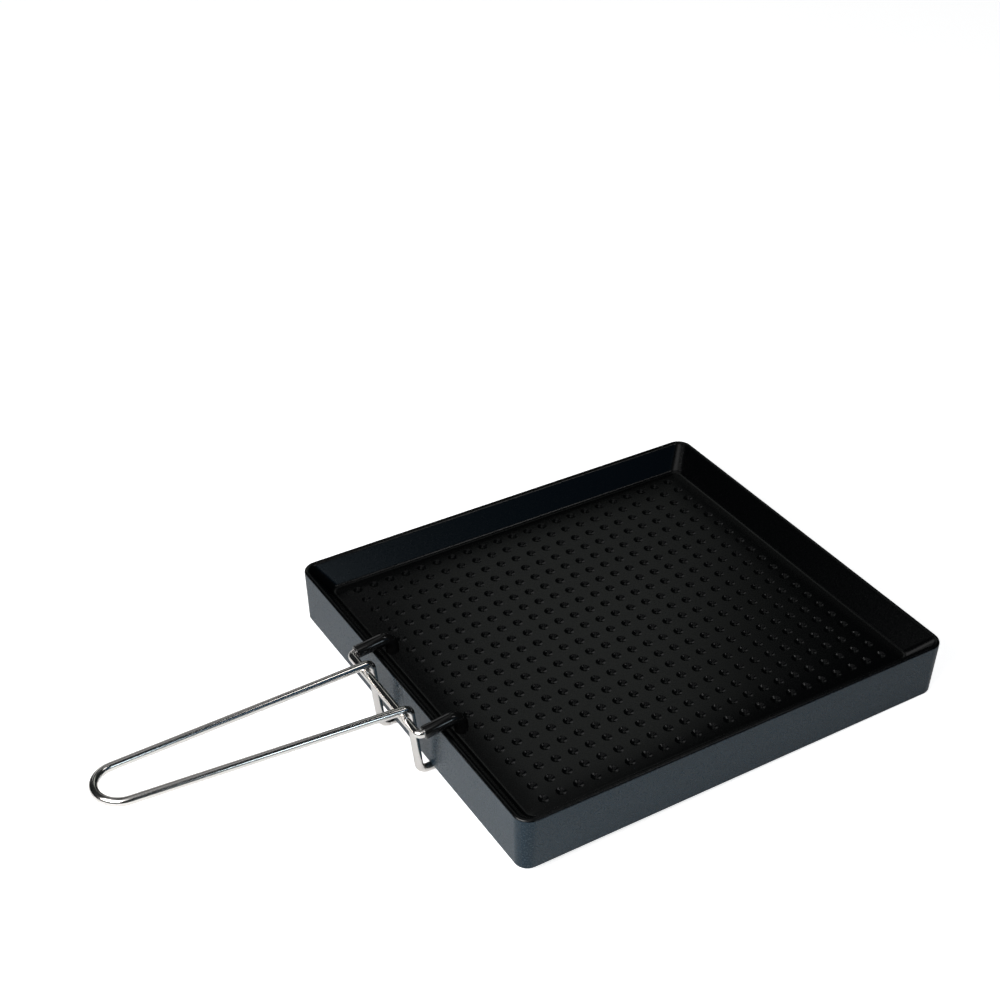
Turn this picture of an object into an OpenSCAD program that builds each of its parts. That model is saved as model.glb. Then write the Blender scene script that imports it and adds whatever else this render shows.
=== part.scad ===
// Camp griddle plate with a lift-off wire handle.
// Millimetres, +Z up. The handle points along -X and the plate lies level.

/* [Plate] */
// Length of the plate over its rim, along X
plate_length = 260; // [220:1:320]
// Width of the plate over its rim, along Y
plate_width = 232; // [180:1:300]
// Height from the lower edge to the top of the rim
plate_height = 32.5; // [28:0.5:40]
// How far each outer side leans in between the rim and the lower edge
side_lean = 1.4; // [0:0.1:3]
// Radius of the upright corners at the rim
corner_radius = 8.5; // [7:0.5:16]
// Thickness of the outer sides and of the rim
side_wall = 2.6; // [2:0.1:3.5]

/* [Cooking surface] */
// Depth of the cooking floor below the rim
tray_depth = 12; // [9:0.5:15]
// How far the sloping sides run in from the rim to the floor
slope_run = 9.4; // [8:0.1:13]
// Radius where two sloping sides meet in a corner
tray_corner = 6; // [3:0.5:10]
// Thickness of the floor and its sloping sides
floor_wall = 3; // [2:0.1:4]

/* [Dimples] */
// Distance from one dimple to the next, both ways
dimple_pitch = 10; // [8:0.5:16]
// Width of a dimple at the floor
dimple_width = 5.2; // [3:0.1:6]
// Depth of a dimple
dimple_depth = 0.9; // [0.4:0.1:1.2]
// Least distance from the floor's edge to the middle of a dimple
dimple_margin = 8.5; // [4:0.5:12]

/* [Wire] */
// Diameter of the wire in the loop and in the clip
wire_diameter = 4.5; // [4:0.1:5]
// How far the two wires sink into each other at the welds
weld_sink = 0.4; // [0.2:0.05:0.6]

/* [Handle loop] */
// Distance from the rim to the middle of the wire at the loop's tip
loop_reach = 161; // [130:1:200]
// Distance between the arms' wire centres at the clip
arm_spacing = 40.4; // [34:0.2:46]
// Distance between the arms' wire centres where the tip's curve starts
tip_spacing = 25.5; // [20:0.5:30]
// Rise of the arms towards the tip, in degrees
arm_rise = 0.95; // [0:0.05:4]
// Lean of the legs towards the plate, in degrees
leg_lean = 6.6; // [4:0.1:8]
// Radius of the bend between a leg and its foot
foot_bend = 5; // [4:0.5:7]
// Gap between the feet and the plate's lower edge
foot_gap = 1.8; // [1.5:0.1:3]
// How far the feet reach past the inside of the lower edge
foot_reach = 1.5; // [0.5:0.1:2]
// Position of the handle along the plate's side, from the middle
handle_shift = -4.8; // [-20:0.1:20]

/* [Rim clip] */
// Distance from the rim's outer face to the middle of the crossbar
clip_offset = 12; // [11:0.5:16]
// Distance between the two hooks
hook_spacing = 71; // [62:1:90]
// Distance from the rim's outer face to the middle of a hook's leg
hook_inset = 12; // [11.75:0.25:14]
// How far the hooks reach below the rim
hook_drop = 5; // [4:0.1:5.2]
// Tilt of the clip, rising towards the tray, in degrees
clip_tilt = 7; // [4:0.5:9]
// Radius of the bends between the crossbar and the hooks
clip_bend = 2.8; // [2.6:0.1:4.5]
// Radius of the bend at the top of each hook
hook_bend = 6; // [5:0.25:7]

/* [Sleeves] */
// Outer diameter of the sleeves on the hooks
sleeve_diameter = 7; // [6:0.1:7.4]
// Clearance between a sleeve and its wire, all round
sleeve_clearance = 0.05; // [0.02:0.01:0.1]
// Gap between the sleeves and the top of the rim
rim_gap = 0.2; // [0.2:0.05:0.6]
// How far each sleeve runs past the end of its hook
sleeve_overrun = 0.6; // [0.2:0.1:1.2]

/* [Hidden] */
$fn = 64;
cut = 1;
skin = 0.01;
bend_swell = 0.03;
bend_lap = 0.2;
// Cooking floor
floor_height = plate_height - tray_depth;
floor_length = plate_length - 2 * (side_wall + slope_run);
floor_width = plate_width - 2 * (side_wall + slope_run);
slope_angle = atan(slope_run / tray_depth);
slope_wall = floor_wall / cos(slope_angle);
under_inset = side_wall + slope_run + floor_wall * tan(slope_angle) - slope_wall;
// Dimples
dimple_radius = (dimple_width * dimple_width / 4 + dimple_depth * dimple_depth) / (2 * dimple_depth);
dimple_columns = floor((floor_length - 2 * dimple_margin) / dimple_pitch) + 1;
dimple_rows = floor((floor_width - 2 * dimple_margin) / dimple_pitch) + 1;
// Crossbar of the clip and the hooks, from the plate's middle
rim_x = -plate_length / 2;
cross_x = rim_x - clip_offset;
hook_x = rim_x + hook_inset;
rest_z = plate_height + rim_gap + sleeve_diameter / 2 / cos(clip_tilt);
cross_z = rest_z - clip_offset * tan(clip_tilt);
hook_top_z = rest_z + hook_inset * tan(clip_tilt);
hook_end_z = plate_height - hook_drop;
// Corner where an arm turns down into its leg, wrapped round the crossbar
wrap_radius = wire_diameter - weld_sink;
turn_x = cross_x + wrap_radius * (cos(arm_rise) - sin(leg_lean)) / cos(arm_rise + leg_lean);
turn_z = cross_z + wrap_radius * (cos(leg_lean) - sin(arm_rise)) / cos(arm_rise + leg_lean);
// Arms and tip of the loop
tip_radius = tip_spacing / 2;
arm_length = (turn_x - rim_x + loop_reach) / cos(arm_rise) - tip_radius;
arm_angle = acos(tip_radius / norm([arm_spacing / 2, arm_length])) - atan2(arm_length, arm_spacing / 2);
meet_length = arm_spacing / 2 / tan(arm_angle);
// Feet
foot_z = -foot_gap - wire_diameter / 2;
foot_turn_x = turn_x + (turn_z - foot_z) * tan(leg_lean);
foot_end_x = rim_x + side_lean + side_wall + foot_reach;
// Origin at the bottom centre of the whole object
frame_x = (loop_reach + wire_diameter / 2 + bend_swell) / 2;
frame_z = foot_gap + wire_diameter + bend_swell;

function unit(v) = v / norm(v);
function loop_points() = [
    [foot_end_x, arm_spacing / 2, foot_z],
    [foot_turn_x, arm_spacing / 2, foot_z],
    [turn_x, arm_spacing / 2, turn_z],
    [turn_x - meet_length * cos(arm_rise), 0, turn_z + meet_length * sin(arm_rise)],
    [turn_x, -arm_spacing / 2, turn_z],
    [foot_turn_x, -arm_spacing / 2, foot_z],
    [foot_end_x, -arm_spacing / 2, foot_z]];
function loop_bends() = [0, foot_bend, wrap_radius, tip_radius, wrap_radius, foot_bend, 0];
function clip_points() = [
    [hook_x, hook_spacing / 2, hook_end_z + sleeve_overrun],
    [hook_x, hook_spacing / 2, hook_top_z],
    [cross_x, hook_spacing / 2, cross_z],
    [cross_x, -hook_spacing / 2, cross_z],
    [hook_x, -hook_spacing / 2, hook_top_z],
    [hook_x, -hook_spacing / 2, hook_end_z + sleeve_overrun]];
function clip_bends() = [0, hook_bend, clip_bend, clip_bend, hook_bend, 0];
function sleeve_points(side, extra) = [
    [hook_x, side * hook_spacing / 2, hook_end_z - extra],
    [hook_x, side * hook_spacing / 2, hook_top_z],
    [cross_x + (clip_bend - extra) * cos(clip_tilt), side * hook_spacing / 2,
     cross_z + (clip_bend - extra) * sin(clip_tilt)]];

// Puts a piece where the shared frame wants it
module placed(shift = 0) {
    translate([frame_x, shift, frame_z]) children();
}

// Rounded block whose sides lean in by lean from its top to its bottom
module leaning_block(length, width, height, radius, lean) {
    corner_x = length / 2 - radius;
    corner_y = width / 2 - radius;
    for (side_x = [-1, 1], side_y = [-1, 1])
        translate([side_x * corner_x, side_y * corner_y, 0])
            cylinder(r1 = radius - lean, r2 = radius, h = height);
    rotate([90, 0, 0])
        linear_extrude(height = 2 * corner_y, center = true)
            polygon([[lean - length / 2, 0], [length / 2 - lean, 0],
                     [length / 2, height], [-length / 2, height]]);
    rotate([90, 0, 90])
        linear_extrude(height = 2 * corner_x, center = true)
            polygon([[lean - width / 2, 0], [width / 2 - lean, 0],
                     [width / 2, height], [-width / 2, height]]);
}

// Flat rounded sheet, set in from the plate's outline
module inset_sheet(inset, height, thickness) {
    corner_x = plate_length / 2 - inset - tray_corner;
    corner_y = plate_width / 2 - inset - tray_corner;
    translate([0, 0, height])
        for (side_x = [-1, 1], side_y = [-1, 1])
            translate([side_x * corner_x, side_y * corner_y, 0])
                cylinder(r = tray_corner, h = thickness);
}

// Straight piece of wire between two points
module bar(start, end, diameter) {
    way = end - start;
    translate(start)
        rotate([0, acos(way[2] / norm(way)), atan2(way[1], way[0])])
            cylinder(d = diameter, h = norm(way));
}

// Bend of wire at a corner, from the way in to the way out
module bend(corner, way_in, way_out, radius, diameter) {
    turn = acos(way_in * way_out);
    normal = unit(cross(way_in, way_out));
    start = corner - way_in * radius * tan(turn / 2);
    out = cross(way_in, normal);
    centre = start - radius * out;
    multmatrix([[out[0], way_in[0], normal[0], centre[0]],
                [out[1], way_in[1], normal[1], centre[1]],
                [out[2], way_in[2], normal[2], centre[2]],
                [0, 0, 0, 1]])
        rotate_extrude(angle = turn)
            translate([radius, 0])
                circle(d = diameter);
}

// Length that a bend takes off the straight pieces beside it
function setback(points, bends, at) =
    bends[at] == 0 ? 0 :
    bends[at] * tan(acos(unit(points[at] - points[at - 1]) * unit(points[at + 1] - points[at])) / 2);

// Wire through a row of points with a bend at each inner one.
// The bends are a hair thicker, so that the straight pieces end inside them.
module bent_wire(points, bends, diameter) {
    last = len(points) - 1;
    for (at = [0 : last - 1]) {
        way = unit(points[at + 1] - points[at]);
        start = points[at] + way * setback(points, bends, at);
        end = points[at + 1] - way * setback(points, bends, at + 1);
        bar(start - way * (at == 0 ? 0 : bend_lap), end + way * (at == last - 1 ? 0 : bend_lap), diameter);
    }
    for (at = [1 : last - 1])
        bend(points[at], unit(points[at] - points[at - 1]), unit(points[at + 1] - points[at]),
             bends[at], diameter + 2 * bend_swell);
}

// Outside of the plate, before it is hollowed
module plate_block() {
    leaning_block(plate_length, plate_width, plate_height, corner_radius, side_lean);
}

// Space inside the outer sides, open below
module skirt_hollow() {
    leaning_block(plate_length - 2 * side_wall, plate_width - 2 * side_wall, plate_height,
                  corner_radius - side_wall, side_lean);
}

// Floor and sloping sides before the tray is cut out of them
module tray_block() {
    intersection() {
        plate_block();
        hull() {
            inset_sheet(under_inset, floor_height - floor_wall, skin);
            inset_sheet(side_wall - slope_wall, plate_height - skin, skin);
        }
    }
}

// Space over the cooking floor
module tray_space() {
    hull() {
        inset_sheet(side_wall + slope_run, floor_height, skin);
        inset_sheet(side_wall, plate_height, cut);
    }
}

// Square grid of shallow round dimples in the floor
module dimples() {
    for (column = [0 : dimple_columns - 1], row = [0 : dimple_rows - 1])
        translate([(column - (dimple_columns - 1) / 2) * dimple_pitch,
                   (row - (dimple_rows - 1) / 2) * dimple_pitch,
                   floor_height + dimple_radius - dimple_depth])
            sphere(r = dimple_radius);
}

module griddle_plate() {
    color("dimgray")
        placed()
            difference() {
                union() {
                    difference() {
                        plate_block();
                        skirt_hollow();
                    }
                    tray_block();
                }
                tray_space();
                dimples();
            }
}

module handle_loop() {
    color("silver")
        placed(handle_shift)
            bent_wire(loop_points(), loop_bends(), wire_diameter);
}

module rim_clip() {
    color("silver")
        placed(handle_shift)
            bent_wire(clip_points(), clip_bends(), wire_diameter);
}

// Sleeve on one hook, on the +Y side for 1 and the -Y side for -1
module sleeve(side) {
    color("black")
        placed(handle_shift)
            difference() {
                bent_wire(sleeve_points(side, 0), [0, hook_bend, 0], sleeve_diameter);
                bent_wire(sleeve_points(side, cut), [0, hook_bend, 0],
                          wire_diameter + 2 * sleeve_clearance);
            }
}

module left_sleeve() {
    sleeve(1);
}

module right_sleeve() {
    sleeve(-1);
}

griddle_plate();
handle_loop();
rim_clip();
left_sleeve();
right_sleeve();
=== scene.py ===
# %% [markdown]
# # A camp griddle plate with a clip-on wire handle
# The CAD model gives the plate, the two wires and the two sleeves their real sizes. This lesson draws
# the same pieces again with soft edges and real dimples, gives them finishes, and lights them.
# The finished scene is in metres and in the frame of the CAD model, so that nothing needs fitting.

import math

import bmesh
import bpy
from mathutils import Matrix, Vector


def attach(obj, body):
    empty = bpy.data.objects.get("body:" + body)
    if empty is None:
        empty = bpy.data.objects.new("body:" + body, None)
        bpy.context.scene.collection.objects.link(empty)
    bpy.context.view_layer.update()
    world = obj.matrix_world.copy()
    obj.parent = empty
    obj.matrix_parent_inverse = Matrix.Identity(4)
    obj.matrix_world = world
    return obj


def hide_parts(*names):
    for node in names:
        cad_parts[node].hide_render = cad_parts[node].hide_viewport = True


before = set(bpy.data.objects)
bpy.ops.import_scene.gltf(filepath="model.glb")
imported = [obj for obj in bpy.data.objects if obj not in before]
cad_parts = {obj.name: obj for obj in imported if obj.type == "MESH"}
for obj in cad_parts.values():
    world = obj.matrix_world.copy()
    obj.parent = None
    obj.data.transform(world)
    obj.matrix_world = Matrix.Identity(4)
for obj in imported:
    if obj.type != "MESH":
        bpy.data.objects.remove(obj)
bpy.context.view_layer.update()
print("CAD nodes:", sorted(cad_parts))

# %% [markdown]
# ## Where the plate stands in the shared frame
# The frame's origin is at the bottom centre of the whole object, handle included. The plate is easier
# to draw round its own middle, so each piece is drawn there in millimetres and moved at the end.

# %% Shared places
MM = 0.001
PLATE_MIDDLE = Vector((81.64, 0.0, 6.33))
HANDLE_SHIFT = -4.8
HANDLE_MIDDLE = PLATE_MIDDLE + Vector((0.0, HANDLE_SHIFT, 0.0))


def verts_in(parts):
    """The vertices among the parts that a bmesh operator returns."""
    return [part for part in parts if isinstance(part, bmesh.types.BMVert)]


def edges_in(parts):
    """The edges among the parts that a bmesh operator returns."""
    return [part for part in parts if isinstance(part, bmesh.types.BMEdge)]


def finish_piece(shape, name, middle, body, node):
    """Turns a bmesh drawn in millimetres into an object that stands for a CAD node."""
    bmesh.ops.translate(shape, verts=shape.verts, vec=middle)
    bmesh.ops.scale(shape, verts=shape.verts, vec=(MM, MM, MM))
    mesh = bpy.data.meshes.new(name)
    shape.to_mesh(mesh)
    shape.free()
    mesh.shade_smooth()
    piece = bpy.data.objects.new(name, mesh)
    bpy.context.scene.collection.objects.link(piece)
    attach(piece, body)
    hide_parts(node)
    print(name, "has", len(mesh.polygons), "faces")
    return piece


print("Plate middle:", tuple(PLATE_MIDDLE), "mm")

# %% [markdown]
# ## One dimple
# The cooking floor is covered with shallow round dimples, each like the mark that a ball leaves. A
# dimple is a disc that is inset a few times, and each inset drops to the ball's depth at that distance
# from the middle. The disc's outer edge is then pulled out to a square, so that neighbouring squares
# share their corners and weld into one floor. Few faces are enough, because there are hundreds of
# dimples and each is only a few pixels wide.

# %% Draw one dimple in its square
DIMPLE_PITCH = 10.0
DIMPLE_RADIUS = 2.6
DIMPLE_SIDES = 12
# A narrow flat ring round each dimple keeps its edge crisp
DIMPLE_FLAT = 0.2
DIMPLE_DEPTH = 0.9
DIMPLE_RINGS = 3
BALL_RADIUS = (DIMPLE_RADIUS**2 + DIMPLE_DEPTH**2) / (2 * DIMPLE_DEPTH)


def loop_edges(grown):
    """The edges of a new ring, without those that join it to the old one."""
    verts = set(verts_in(grown))
    return [edge for edge in edges_in(grown) if set(edge.verts) <= verts]


def ball_depth(radius):
    """How far the ball that cut the dimple reaches at a given distance from its middle."""
    return math.sqrt(BALL_RADIUS**2 - radius**2)


def dimple_square(shape):
    """One square of floor with a dimple in its middle, at the height of the floor."""
    half_side_turn = Matrix.Rotation(math.pi / DIMPLE_SIDES, 4, "Z")
    disc = bmesh.ops.create_circle(
        shape, cap_ends=True, segments=DIMPLE_SIDES, radius=DIMPLE_RADIUS + DIMPLE_FLAT,
        matrix=half_side_turn,
    )
    bowl = disc["verts"][0].link_faces[0]
    grown = bmesh.ops.extrude_edge_only(shape, edges=list(bowl.edges))["geom"]
    for vert in verts_in(grown):
        vert.co *= DIMPLE_PITCH / 2 / max(abs(vert.co.x), abs(vert.co.y))
    bmesh.ops.inset_region(shape, faces=[bowl], thickness=DIMPLE_FLAT, use_even_offset=True)
    step = DIMPLE_RADIUS / (DIMPLE_RINGS + 1)
    for ring in range(DIMPLE_RINGS):
        drop = ball_depth(DIMPLE_RADIUS - step * (ring + 1)) - ball_depth(DIMPLE_RADIUS - step * ring)
        bmesh.ops.inset_region(shape, faces=[bowl], thickness=step, use_even_offset=True)
        bmesh.ops.translate(shape, verts=list(bowl.verts), vec=(0, 0, -drop))


print("A dimple is", 2 * DIMPLE_RADIUS, "mm wide and", DIMPLE_DEPTH, "mm deep")


# %% [markdown]
# ## The dimpled floor
# The square is repeated along the plate and the row is repeated across it, as an Array modifier would
# do. Here it is done with the duplicate operator, because the floor must weld to the sloping sides.

# %% Repeat the dimple over the floor
DIMPLE_COLUMNS = 22
DIMPLE_ROWS = 20
FLOOR_WELD = 0.01


def repeat(shape, count, step):
    """Copies everything in the shape count times, each copy one step further on."""
    first = shape.verts[:] + shape.edges[:] + shape.faces[:]
    for place in range(1, count):
        copy = bmesh.ops.duplicate(shape, geom=first)["geom"]
        bmesh.ops.translate(shape, verts=verts_in(copy), vec=Vector(step) * place)


def dimple_field(shape, height):
    """The whole grid of dimples, welded into one sheet at the height of the floor."""
    dimple_square(shape)
    repeat(shape, DIMPLE_COLUMNS, (DIMPLE_PITCH, 0, 0))
    repeat(shape, DIMPLE_ROWS, (0, DIMPLE_PITCH, 0))
    bmesh.ops.remove_doubles(shape, verts=shape.verts, dist=FLOOR_WELD)
    half_x = DIMPLE_PITCH * (DIMPLE_COLUMNS - 1) / 2
    half_y = DIMPLE_PITCH * (DIMPLE_ROWS - 1) / 2
    bmesh.ops.translate(shape, verts=shape.verts, vec=(-half_x, -half_y, height))


print("Dimples on the floor:", DIMPLE_COLUMNS * DIMPLE_ROWS)


# %% [markdown]
# ## The plate's section, ring by ring
# The plate is one casting: outer sides that lean in a little, a narrow rim, sloping tray sides and the
# floor, with the underside left open. Its section is the same all round, so it is drawn as rounded
# rectangles that follow one another, each extruded from the last. At every ring the four corners are
# scaled about their own centres, which keeps them round whatever the ring's size.

# %% Draw the rings of the plate
HALF_LENGTH = 130.0
HALF_WIDTH = 116.0
PLATE_HEIGHT = 32.5
FLOOR_HEIGHT = 20.5
SIDE_LEAN = 1.4
SIDE_WALL = 2.6
CORNER_STEPS = 8
ROUND_PROFILE = 0.5
# Each ring: how far in from the rim's outline, corner radius, height
FOOT_RING = (SIDE_LEAN, 7.1, 0.0)
RIM_OUTER_RING = (0.0, 8.5, PLATE_HEIGHT)
RIM_INNER_RING = (SIDE_WALL, 5.9, PLATE_HEIGHT)
SLOPE_FOOT_RING = (12.0, 6.0, FLOOR_HEIGHT)
FLOOR_EDGE_RING = (14.0, 4.0, FLOOR_HEIGHT)
FOOT_INNER_RING = (SIDE_LEAN + SIDE_WALL, 4.5, 0.0)
UNDER_TOP_RING = (2.82, 5.7, 27.4)
UNDER_FLOOR_RING = (10.54, 6.0, 17.5)


def first_ring(shape, ring):
    """A rounded rectangle with no face, as its ring of edges."""
    inset, radius, height = ring
    size = Matrix.Diagonal((HALF_LENGTH - inset, HALF_WIDTH - inset, 1.0, 1.0))
    sheet = bmesh.ops.create_grid(
        shape, x_segments=1, y_segments=1, size=1.0, matrix=Matrix.Translation((0, 0, height)) @ size
    )
    bmesh.ops.bevel(
        shape, geom=sheet["verts"], offset=radius, offset_type="OFFSET", segments=CORNER_STEPS,
        profile=ROUND_PROFILE, affect="VERTICES", material=-1, clamp_overlap=True,
    )
    face = max(shape.faces, key=lambda part: part.calc_area())
    edges = list(face.edges)
    bmesh.ops.delete(shape, geom=[face], context="FACES_ONLY")
    return edges


def corner_centre(ring, side_x, side_y):
    """The middle of one rounded corner of a ring."""
    inset, radius, height = ring
    centre_x = side_x * (HALF_LENGTH - inset - radius)
    centre_y = side_y * (HALF_WIDTH - inset - radius)
    return Vector((centre_x, centre_y, height))


def next_ring(shape, edges, old, new):
    """Extrudes a ring and gives the new one its own inset, corner radius and height."""
    grown = bmesh.ops.extrude_edge_only(shape, edges=edges)["geom"]
    verts = verts_in(grown)
    for side_x in (-1, 1):
        for side_y in (-1, 1):
            corner = [vert for vert in verts if vert.co.x * side_x > 0 and vert.co.y * side_y > 0]
            centre_old = corner_centre(old, side_x, side_y)
            centre_new = corner_centre(new, side_x, side_y)
            growth = new[1] / old[1]
            about_centre = Matrix.Translation(-centre_old)
            bmesh.ops.scale(shape, verts=corner, vec=(growth, growth, 1.0), space=about_centre)
            bmesh.ops.translate(shape, verts=corner, vec=centre_new - centre_old)
    return loop_edges(grown)


def soften(shape, edges, offset, segments):
    """Rounds a ring of edges."""
    bmesh.ops.bevel(
        shape, geom=edges, offset=offset, offset_type="OFFSET", segments=segments,
        profile=ROUND_PROFILE, affect="EDGES", material=-1, clamp_overlap=True,
    )


# %% [markdown]
# ## The plate in one piece
# The rings and the dimpled floor are joined by filling the flat strip between them. The rim, the lower
# edge and the foot of the slopes are then rounded with the bevel operator, because a cast plate has no
# sharp edge and the light catches those small rounds. The photo's floor mirrors a darker part of the
# room along its edges than in its middle, so the floor is drawn slightly crowned: its outer band falls
# one millimetre towards the slopes. A Weighted Normal modifier keeps the large faces flat beside the
# small rounds.

# %% Build the plate
RIM_ROUND = 1.2
RIM_ROUND_STEPS = 5
SLOPE_ROUND = 1.5
SLOPE_ROUND_STEPS = 4
FOOT_ROUND = 1.1
FOOT_ROUND_STEPS = 2
EDGE_BAND = 28.0
EDGE_FALL = 1.0
EDGE_CURVE = 3
SAME_HEIGHT = 0.01


def crown_floor(shape):
    """Lets the outer band of the floor fall a little, more and more towards the slopes."""
    inset = SLOPE_FOOT_RING[0]
    for vert in shape.verts:
        if -DIMPLE_DEPTH < vert.co.z - FLOOR_HEIGHT < SAME_HEIGHT:
            to_end = HALF_LENGTH - inset - abs(vert.co.x)
            to_side = HALF_WIDTH - inset - abs(vert.co.y)
            near = max(0.0, 1.0 - min(to_end, to_side) / EDGE_BAND)
            vert.co.z -= EDGE_FALL * near**EDGE_CURVE


shape = bmesh.new()
dimple_field(shape, FLOOR_HEIGHT)
field_edge = [edge for edge in shape.edges if edge.is_boundary]
foot = first_ring(shape, FOOT_RING)
rim_outer = next_ring(shape, foot, FOOT_RING, RIM_OUTER_RING)
rim_inner = next_ring(shape, rim_outer, RIM_OUTER_RING, RIM_INNER_RING)
slope_foot = next_ring(shape, rim_inner, RIM_INNER_RING, SLOPE_FOOT_RING)
floor_edge = next_ring(shape, slope_foot, SLOPE_FOOT_RING, FLOOR_EDGE_RING)
foot_inner = next_ring(shape, foot, FOOT_RING, FOOT_INNER_RING)
under_top = next_ring(shape, foot_inner, FOOT_INNER_RING, UNDER_TOP_RING)
under_floor = next_ring(shape, under_top, UNDER_TOP_RING, UNDER_FLOOR_RING)
bmesh.ops.contextual_create(shape, geom=under_floor)
bmesh.ops.triangle_fill(shape, use_beauty=True, edges=field_edge + floor_edge)
bmesh.ops.recalc_face_normals(shape, faces=shape.faces)
crown_floor(shape)
soften(shape, foot + foot_inner, FOOT_ROUND, FOOT_ROUND_STEPS)
soften(shape, rim_outer + rim_inner, RIM_ROUND, RIM_ROUND_STEPS)
soften(shape, slope_foot, SLOPE_ROUND, SLOPE_ROUND_STEPS)
print("Open edges in the plate:", sum(edge.is_boundary for edge in shape.edges))

# %% [markdown]
# ## Two coats on one casting
# The tray and the rim have a black non-stick coat, and the outer sides have a blue-grey satin one. The
# coats are told apart by which way a face looks: all that looks up is cooking surface.

# %% Give each face its coat
COAT_INSIDE = 0
COAT_OUTSIDE = 1
LOOKS_UP = 0.3
FLAT_WEIGHT = 60

for face in shape.faces:
    face.material_index = COAT_INSIDE if face.normal.z > LOOKS_UP else COAT_OUTSIDE
plate = finish_piece(shape, "plate_casting", PLATE_MIDDLE, "plate", "griddle_plate")
flat_faces = plate.modifiers.new("Flat large faces", "WEIGHTED_NORMAL")
flat_faces.weight = FLAT_WEIGHT

# %% [markdown]
# ## Bending wire
# Both wires are bent from one round rod. A circle is extruded along each straight stretch, and at each
# corner it is spun about the centre of the bend. That is what a wire bender does, and it leaves the rod
# smooth, with no seam between a stretch and a bend.

# %% A wire through a row of corners
WIRE_SIDES = 20
SPIN_STEP = math.radians(9)
LEAST_SPIN_STEPS = 3
BEND_SLIP = 0.01
ROD_WELD = 0.0005


def ways(points):
    """The direction of each straight stretch."""
    return [(after - before).normalized() for before, after in zip(points, points[1:])]


def bent_rod(points, bends, diameter):
    """A closed rod that runs through the points, with a bend of the given radius at each inner one."""
    shape = bmesh.new()
    points = [Vector(point) for point in points]
    way = ways(points)
    facing = way[0].to_track_quat("Z", "Y").to_matrix().to_4x4()
    start = Matrix.Translation(points[0]) @ facing
    bmesh.ops.create_circle(shape, cap_ends=True, segments=WIRE_SIDES, radius=diameter / 2, matrix=start)
    ring = shape.edges[:]
    place = points[0].copy()
    for corner in range(1, len(points)):
        turn = way[corner - 1].angle(way[corner]) if corner < len(way) else 0.0
        set_back = bends[corner] * math.tan(turn / 2)
        stop = points[corner] - way[corner - 1] * set_back
        grown = bmesh.ops.extrude_edge_only(shape, edges=ring)["geom"]
        ring = loop_edges(grown)
        bmesh.ops.translate(shape, verts=verts_in(grown), vec=stop - place)
        place = stop
        if turn > 0.0:
            normal = way[corner - 1].cross(way[corner]).normalized()
            centre = stop + normal.cross(way[corner - 1]) * bends[corner]
            steps = max(LEAST_SPIN_STEPS, round(turn / SPIN_STEP))
            spun = bmesh.ops.spin(shape, geom=ring, cent=centre, axis=normal, angle=turn, steps=steps)
            ring = edges_in(spun["geom_last"])
            place = points[corner] + way[corner] * set_back
            middle = sum((vert.co for edge in ring for vert in edge.verts), Vector()) / (2 * len(ring))
            if (middle - place).length > BEND_SLIP:
                raise ValueError("a bend turned the wrong way")
    bmesh.ops.contextual_create(shape, geom=ring)
    bmesh.ops.remove_doubles(shape, verts=shape.verts, dist=ROD_WELD)
    bmesh.ops.recalc_face_normals(shape, faces=shape.faces)
    return shape


def cut_ends(shape):
    """The two cut ends of a rod, the only faces with more than four corners."""
    return [face for face in shape.faces if len(face.verts) > 4]


def round_ends(shape, offset, segments):
    """Takes the sharp edge off both cut ends of a rod."""
    edges = [edge for face in cut_ends(shape) for edge in face.edges]
    soften(shape, edges, offset, segments)


# %% [markdown]
# ## The clip's crossbar and hooks
# The clip is a U of wire. Its crossbar lies outside the plate, and its two ends pass over the rim and
# turn down into the tray. The whole clip tips a little, so that the hooks bear on the rim.

# %% Build the rim clip
WIRE_DIAMETER = 4.5
WIRE_END_ROUND = 0.4
WIRE_END_STEPS = 2
CLIP_TILT = math.radians(7)
CLIP_REACH = 12.0
CROSSBAR_X = -HALF_LENGTH - CLIP_REACH
HOOK_X = -HALF_LENGTH + CLIP_REACH
HOOK_SPACING = 71.0
HOOK_DROP = 5.0
HOOK_END_Z = PLATE_HEIGHT - HOOK_DROP
HOOK_BEND = 6.0
CLIP_BEND = 2.8
SLEEVE_DIAMETER = 7.0
SLEEVE_OVERRUN = 0.6
RIM_GAP = 0.2
REST_Z = PLATE_HEIGHT + RIM_GAP + SLEEVE_DIAMETER / 2 / math.cos(CLIP_TILT)
CROSSBAR_Z = REST_Z - CLIP_REACH * math.tan(CLIP_TILT)
HOOK_TOP_Z = REST_Z + CLIP_REACH * math.tan(CLIP_TILT)
hook_y = HOOK_SPACING / 2

clip_points = (
    (HOOK_X, hook_y, HOOK_END_Z + SLEEVE_OVERRUN),
    (HOOK_X, hook_y, HOOK_TOP_Z),
    (CROSSBAR_X, hook_y, CROSSBAR_Z),
    (CROSSBAR_X, -hook_y, CROSSBAR_Z),
    (HOOK_X, -hook_y, HOOK_TOP_Z),
    (HOOK_X, -hook_y, HOOK_END_Z + SLEEVE_OVERRUN),
)
shape = bent_rod(clip_points, (0, HOOK_BEND, CLIP_BEND, CLIP_BEND, HOOK_BEND, 0), WIRE_DIAMETER)
round_ends(shape, WIRE_END_ROUND, WIRE_END_STEPS)
clip = finish_piece(shape, "clip_wire", HANDLE_MIDDLE, "handle", "rim_clip")

# %% [markdown]
# ## The sleeves
# A black sleeve covers each hook, so that the wire doesn't scratch the coat. It is a short rod bent like
# the hook under it. The face at its lower end is inset and pushed in, which leaves the sleeve's wall.

# %% Build the two sleeves
SLEEVE_WALL = 0.85
SLEEVE_END_ROUND = 0.35
SLEEVE_END_STEPS = 3


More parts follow.
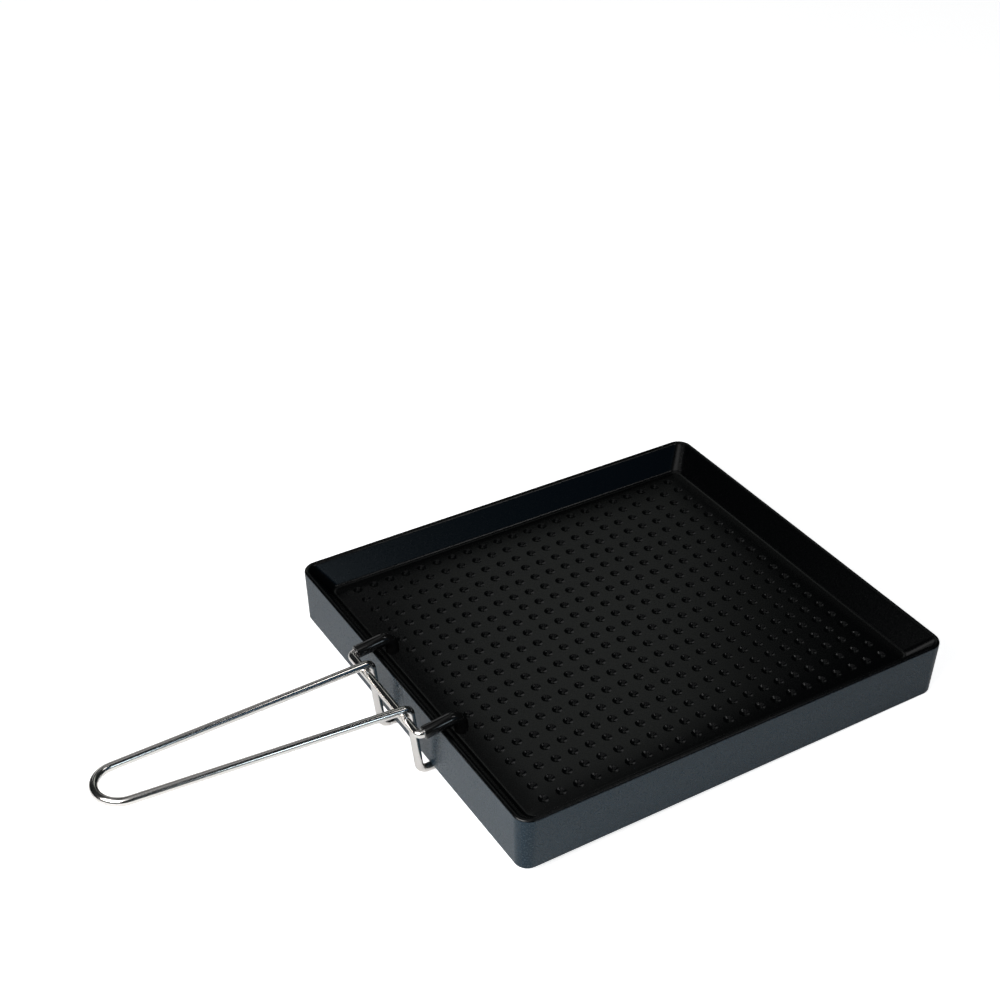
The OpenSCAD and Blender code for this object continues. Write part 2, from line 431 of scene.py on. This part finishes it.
def build_sleeve(name, node, side):
    """One sleeve, from the clip's bend to just past the hook's end."""
    start = Vector((CROSSBAR_X, side * hook_y, CROSSBAR_Z))
    along = Vector((math.cos(CLIP_TILT), 0.0, math.sin(CLIP_TILT)))
    hook_end = Vector((HOOK_X, side * hook_y, HOOK_END_Z))
    hook_top = Vector((HOOK_X, side * hook_y, HOOK_TOP_Z))
    shape = bent_rod((hook_end, hook_top, start + along * CLIP_BEND), (0, HOOK_BEND, 0), SLEEVE_DIAMETER)
    round_ends(shape, SLEEVE_END_ROUND, SLEEVE_END_STEPS)
    lower_end = min(cut_ends(shape), key=lambda face: face.calc_center_median().z)
    bmesh.ops.inset_region(shape, faces=[lower_end], thickness=SLEEVE_WALL, use_even_offset=True)
    bmesh.ops.translate(shape, verts=list(lower_end.verts), vec=(0, 0, SLEEVE_OVERRUN))
    return finish_piece(shape, name, HANDLE_MIDDLE, "handle", node)


sleeve_left = build_sleeve("sleeve_left", "left_sleeve", 1)
sleeve_right = build_sleeve("sleeve_right", "right_sleeve", -1)

# %% [markdown]
# ## The handle loop
# The loop is the second wire. Its two arms run out to a round tip, and over the crossbar each arm turns
# down into a leg, whose foot reaches under the plate's lower edge. The turn is wrapped round the
# crossbar, where the two wires are welded.

# %% Build the handle loop
WELD_SINK = 0.4
ARM_RISE = math.radians(0.95)
LEG_LEAN = math.radians(6.6)
ARM_SPACING = 40.4
TIP_RADIUS = 25.5 / 2
LOOP_REACH = 161.0
FOOT_BEND = 5.0
FOOT_GAP = 1.8
FOOT_REACH = 1.5
FOOT_Z = -FOOT_GAP - WIRE_DIAMETER / 2
FOOT_END_X = -HALF_LENGTH + SIDE_LEAN + SIDE_WALL + FOOT_REACH

# The arm passes over the crossbar and the leg passes it on the plate's side, both at the wrap's distance
wrap = WIRE_DIAMETER - WELD_SINK
turn_cosine = math.cos(ARM_RISE + LEG_LEAN)
turn_x = CROSSBAR_X + wrap * (math.cos(ARM_RISE) - math.sin(LEG_LEAN)) / turn_cosine
turn_z = CROSSBAR_Z + wrap * (math.cos(LEG_LEAN) - math.sin(ARM_RISE)) / turn_cosine

# Each arm leans inwards and runs into the round tip, and the lines of the two arms meet beyond the tip
arm_y = ARM_SPACING / 2
arm_length = (turn_x + HALF_LENGTH + LOOP_REACH) / math.cos(ARM_RISE) - TIP_RADIUS
arm_angle = math.acos(TIP_RADIUS / math.hypot(arm_y, arm_length)) - math.atan2(arm_length, arm_y)
meet = arm_y / math.tan(arm_angle)
foot_x = turn_x + (turn_z - FOOT_Z) * math.tan(LEG_LEAN)

loop_points = (
    (FOOT_END_X, arm_y, FOOT_Z),
    (foot_x, arm_y, FOOT_Z),
    (turn_x, arm_y, turn_z),
    (turn_x - meet * math.cos(ARM_RISE), 0.0, turn_z + meet * math.sin(ARM_RISE)),
    (turn_x, -arm_y, turn_z),
    (foot_x, -arm_y, FOOT_Z),
    (FOOT_END_X, -arm_y, FOOT_Z),
)
shape = bent_rod(loop_points, (0, FOOT_BEND, wrap, TIP_RADIUS, wrap, FOOT_BEND, 0), WIRE_DIAMETER)
round_ends(shape, WIRE_END_ROUND, WIRE_END_STEPS)
loop = finish_piece(shape, "loop_wire", HANDLE_MIDDLE, "handle", "handle_loop")

# %% [markdown]
# ## A shared fine grain
# No coat is perfectly even. One node group makes a fine cloudy mask from Object coordinates, and each
# material uses it with its own size to vary its gloss a little.

# %% Build the grain group
def make_grain():
    """A node group that turns noise into a value between Low and High."""
    group = bpy.data.node_groups.new("Fine grain", "ShaderNodeTree")
    for name in ("Size", "Low", "High"):
        group.interface.new_socket(name, in_out="INPUT", socket_type="NodeSocketFloat")
    group.interface.new_socket("Value", in_out="OUTPUT", socket_type="NodeSocketFloat")
    nodes, links = group.nodes, group.links
    entry = nodes.new("NodeGroupInput")
    leave = nodes.new("NodeGroupOutput")
    place = nodes.new("ShaderNodeTexCoord")
    noise = nodes.new("ShaderNodeTexNoise")
    noise.inputs["Detail"].default_value = 3.0
    spread = nodes.new("ShaderNodeMapRange")
    spread.inputs["From Min"].default_value = 0.3
    spread.inputs["From Max"].default_value = 0.7
    links.new(place.outputs["Object"], noise.inputs["Vector"])
    links.new(entry.outputs["Size"], noise.inputs["Scale"])
    links.new(noise.outputs["Fac"], spread.inputs["Value"])
    links.new(entry.outputs["Low"], spread.inputs["To Min"])
    links.new(entry.outputs["High"], spread.inputs["To Max"])
    links.new(spread.outputs["Result"], leave.inputs["Value"])
    return group


grain = make_grain()


def new_finish(name):
    """An empty material with a Principled shader, and its nodes and links."""
    finish = bpy.data.materials.new(name)
    finish.use_nodes = True
    nodes, links = finish.node_tree.nodes, finish.node_tree.links
    return finish, nodes, links, nodes["Principled BSDF"]


def add_grain(nodes, size, low, high):
    """The grain group with its own values."""
    use = nodes.new("ShaderNodeGroup")
    use.node_tree = grain
    use.inputs["Size"].default_value = size
    use.inputs["Low"].default_value = low
    use.inputs["High"].default_value = high
    return use.outputs["Value"]


print("Grain group has", len(grain.nodes), "nodes")

# %% [markdown]
# ## The black non-stick coat
# The cooking side is nearly black with a soft gloss. Its own colour is almost nothing, so that what is
# seen is what it mirrors, and the grain in its roughness keeps it from looking like glass.

# %% Make the non-stick coat
black_coat, nodes, links, surface = new_finish("Black non-stick coat")
surface.inputs["Base Color"].default_value = (0.0001, 0.0003, 0.0005, 1.0)
surface.inputs["Specular IOR Level"].default_value = 0.4
links.new(add_grain(nodes, 900.0, 0.22, 0.28), surface.inputs["Roughness"])

# %% [markdown]
# ## The satin outer coat
# The outer sides are a blue-grey satin. The blue is in the coat's colour and in its gloss too, so that
# the sides stay blue-grey where they mirror a white lamp.

# %% Make the outer coat
outer_coat, nodes, links, surface = new_finish("Blue-grey satin coat")
surface.inputs["Base Color"].default_value = (0.007, 0.018, 0.030, 1.0)
surface.inputs["Specular IOR Level"].default_value = 0.44
surface.inputs["Specular Tint"].default_value = (0.70, 0.90, 1.0, 1.0)
links.new(add_grain(nodes, 1200.0, 0.22, 0.30), surface.inputs["Roughness"])

for coat in (black_coat, outer_coat):
    plate.data.materials.append(coat)
print("Plate coats:", [coat.name for coat in plate.data.materials])

# %% [markdown]
# ## Bright wire and black sleeves
# The wire is plated steel: a metal with a low roughness, which mirrors the white floor and the dark
# plate side by side. The sleeves are a black heat-proof rubber, smooth enough to show a streak of light.

# %% Make the wire and sleeve finishes
bright_wire, nodes, links, surface = new_finish("Bright plated wire")
surface.inputs["Base Color"].default_value = (0.92, 0.89, 0.86, 1.0)
surface.inputs["Metallic"].default_value = 1.0
links.new(add_grain(nodes, 700.0, 0.14, 0.18), surface.inputs["Roughness"])
for wire in (clip, loop):
    wire.data.materials.append(bright_wire)

black_rubber, nodes, links, surface = new_finish("Black sleeve rubber")
surface.inputs["Base Color"].default_value = (0.004, 0.004, 0.004, 1.0)
links.new(add_grain(nodes, 800.0, 0.14, 0.18), surface.inputs["Roughness"])
for sleeve in (sleeve_left, sleeve_right):
    sleeve.data.materials.append(black_rubber)
print("Finishes made:", len(bpy.data.materials))

# %% [markdown]
# ## The floor
# The plate lies on a wide pale floor. With the handle clipped on, it rests on its far edge and on the
# handle's two feet, which stand a few millimetres lower, so the floor rises very slightly towards the
# far edge instead of the plate being tipped. The photo's background is white, so the floor also glows
# for the camera's own rays. It hardly glows for what the object mirrors, or the dark coat would turn
# grey.

# %% Lay the floor
FAR_EDGE = Vector((HALF_LENGTH - SIDE_LEAN, 0.0, 0.0)) + PLATE_MIDDLE
FOOT_TIP = Vector((FOOT_END_X, 0.0, FOOT_Z - WIRE_DIAMETER / 2)) + HANDLE_MIDDLE
FLOOR_HALF_METRES = 4.0
FLOOR_DROP = 0.03
CAMERA_GLOW = 0.85
MIRROR_GLOW = 0.05
floor_lean = math.atan2(FAR_EDGE.z - FOOT_TIP.z, FAR_EDGE.x - FOOT_TIP.x)

sheet = bmesh.new()
bmesh.ops.create_grid(sheet, x_segments=1, y_segments=1, size=FLOOR_HALF_METRES)
bmesh.ops.rotate(sheet, verts=sheet.verts, matrix=Matrix.Rotation(-floor_lean, 3, "Y"))
bmesh.ops.translate(sheet, verts=sheet.verts, vec=(FOOT_TIP - Vector((0, FOOT_TIP.y, FLOOR_DROP))) * MM)
floor_mesh = bpy.data.meshes.new("floor")
sheet.to_mesh(floor_mesh)
sheet.free()
floor = bpy.data.objects.new("floor", floor_mesh)
bpy.context.scene.collection.objects.link(floor)

white_floor, nodes, links, surface = new_finish("Pale floor")
surface.inputs["Base Color"].default_value = (0.9, 0.9, 0.9, 1.0)
surface.inputs["Roughness"].default_value = 0.9
surface.inputs["Specular IOR Level"].default_value = 0.0
light_path = nodes.new("ShaderNodeLightPath")
glow = nodes.new("ShaderNodeEmission")
seen = nodes.new("ShaderNodeMath")
seen.operation = "MULTIPLY"
seen.inputs[1].default_value = CAMERA_GLOW
lift = nodes.new("ShaderNodeMath")
lift.operation = "MULTIPLY_ADD"
lift.inputs[1].default_value = MIRROR_GLOW
both_lights = nodes.new("ShaderNodeAddShader")
links.new(light_path.outputs["Is Camera Ray"], seen.inputs[0])
links.new(light_path.outputs["Is Glossy Ray"], lift.inputs[0])
links.new(seen.outputs["Value"], lift.inputs[2])
links.new(lift.outputs["Value"], glow.inputs["Strength"])
links.new(surface.outputs["BSDF"], both_lights.inputs[0])
links.new(glow.outputs["Emission"], both_lights.inputs[1])
links.new(both_lights.outputs["Shader"], nodes["Material Output"].inputs["Surface"])
floor.data.materials.append(white_floor)
print("Floor leans", round(math.degrees(floor_lean), 2), "degrees")

# %% [markdown]
# ## Studio light
# A dark glossy coat shows what it mirrors, so each lamp stands where one surface mirrors it for the
# camera: the front lamp in the handle's side, the front right lamp along the sleeves, the blue card in
# the far left slope, the side lamp in the round at that slope's foot, the back card in the floor, the low
# back lamp in the near walls of the dimples, and the overhead card and the left back card in their far
# walls. The top lamp and a dim world light the rest. The world is white only for the camera's own rays,
# so that the background past the floor is white too.

# %% Place the lamps
SKY_STRENGTH = 0.01
AIM = Vector((0.08, 0.0, 0.03))

world = bpy.data.worlds.new("Studio")
bpy.context.scene.world = world
world.use_nodes = True
nodes, links = world.node_tree.nodes, world.node_tree.links
sky = nodes["Background"]
sky.inputs["Color"].default_value = (0.80, 0.92, 1.0, 1.0)
sky.inputs["Strength"].default_value = SKY_STRENGTH
backdrop = nodes.new("ShaderNodeBackground")
backdrop.inputs["Color"].default_value = (1.0, 1.0, 1.0, 1.0)
ray_kind = nodes.new("ShaderNodeLightPath")
choose = nodes.new("ShaderNodeMixShader")
links.new(ray_kind.outputs["Is Camera Ray"], choose.inputs["Fac"])
links.new(sky.outputs["Background"], choose.inputs[1])
links.new(backdrop.outputs["Background"], choose.inputs[2])
links.new(choose.outputs["Shader"], nodes["World Output"].inputs["Surface"])


def add_lamp(name, turn, rise, away, size, power, colour=(1.0, 1.0, 1.0)):
    """A soft lamp that looks at the plate, placed by its turn and rise in degrees and its distance."""
    turn, rise = math.radians(turn), math.radians(rise)
    towards = Vector((math.cos(rise) * math.cos(turn), math.cos(rise) * math.sin(turn), math.sin(rise)))
    lamp = bpy.data.lights.new(name, "AREA")
    lamp.shape = "RECTANGLE"
    lamp.size, lamp.size_y = size
    lamp.energy = power
    lamp.color = colour
    holder = bpy.data.objects.new(name, lamp)
    bpy.context.scene.collection.objects.link(holder)
    holder.location = AIM + towards * away
    holder.rotation_euler = towards.to_track_quat("Z", "Y").to_euler()


add_lamp("Front lamp", -164, 35, 0.75, (0.5, 0.4), 4.4)
add_lamp("Front right lamp", -80, 27, 2.0, (0.4, 0.45), 2.0, (0.75, 0.90, 1.0))
add_lamp("Blue card", -58, 33, 2.0, (0.9, 0.7), 0.18, (0.1, 0.5, 1.0))
add_lamp("Side lamp", -30, 60, 2.0, (0.25, 0.5), 1.4)
add_lamp("Top lamp", 234, 62, 2.0, (0.85, 1.2), 2.6)
add_lamp("Back card", 56, 41, 2.2, (0.55, 0.65), 0.48, (0.95, 1.0, 0.95))
add_lamp("Low back lamp", 85, 20, 2.2, (0.95, 1.2), 1.9)
add_lamp("Overhead card", 62, 76, 2.2, (0.6, 1.6), 0.85)
add_lamp("Left back card", 120, 65, 2.2, (0.9, 0.4), 0.4)
print("Lamps:", len(bpy.data.lights))

# %% [markdown]
# ## The camera
# Position, direction and lens come from fitting a camera to the plate's rim, corners and dimples. The
# camera's three axes are built from the direction it looks in and a small roll, and a matrix of those
# axes turns it, which is exact where angles typed by hand would not be.

# %% Place the camera
CAMERA_PLACE = Vector((-0.35763, -0.59618, 0.60680))
CAMERA_LOOKS = Vector((0.4334, 0.7041, -0.5624)).normalized()
CAMERA_ROLL = math.radians(0.57)
CAMERA_LENS = 62.64
SENSOR_WIDTH = 36.0

camera_data = bpy.data.cameras.new("Camera")
camera_data.lens = CAMERA_LENS
camera_data.sensor_width = SENSOR_WIDTH
level_right = CAMERA_LOOKS.cross(Vector((0, 0, 1))).normalized()
level_up = level_right.cross(CAMERA_LOOKS)
right = level_right * math.cos(CAMERA_ROLL) + level_up * math.sin(CAMERA_ROLL)
up = right.cross(CAMERA_LOOKS)
camera = bpy.data.objects.new("Camera", camera_data)
camera_axes = Matrix((right, up, -CAMERA_LOOKS)).transposed().to_4x4()
camera.matrix_world = Matrix.Translation(CAMERA_PLACE) @ camera_axes
bpy.context.scene.collection.objects.link(camera)
bpy.context.scene.camera = camera
bpy.context.scene.view_settings.view_transform = "Standard"
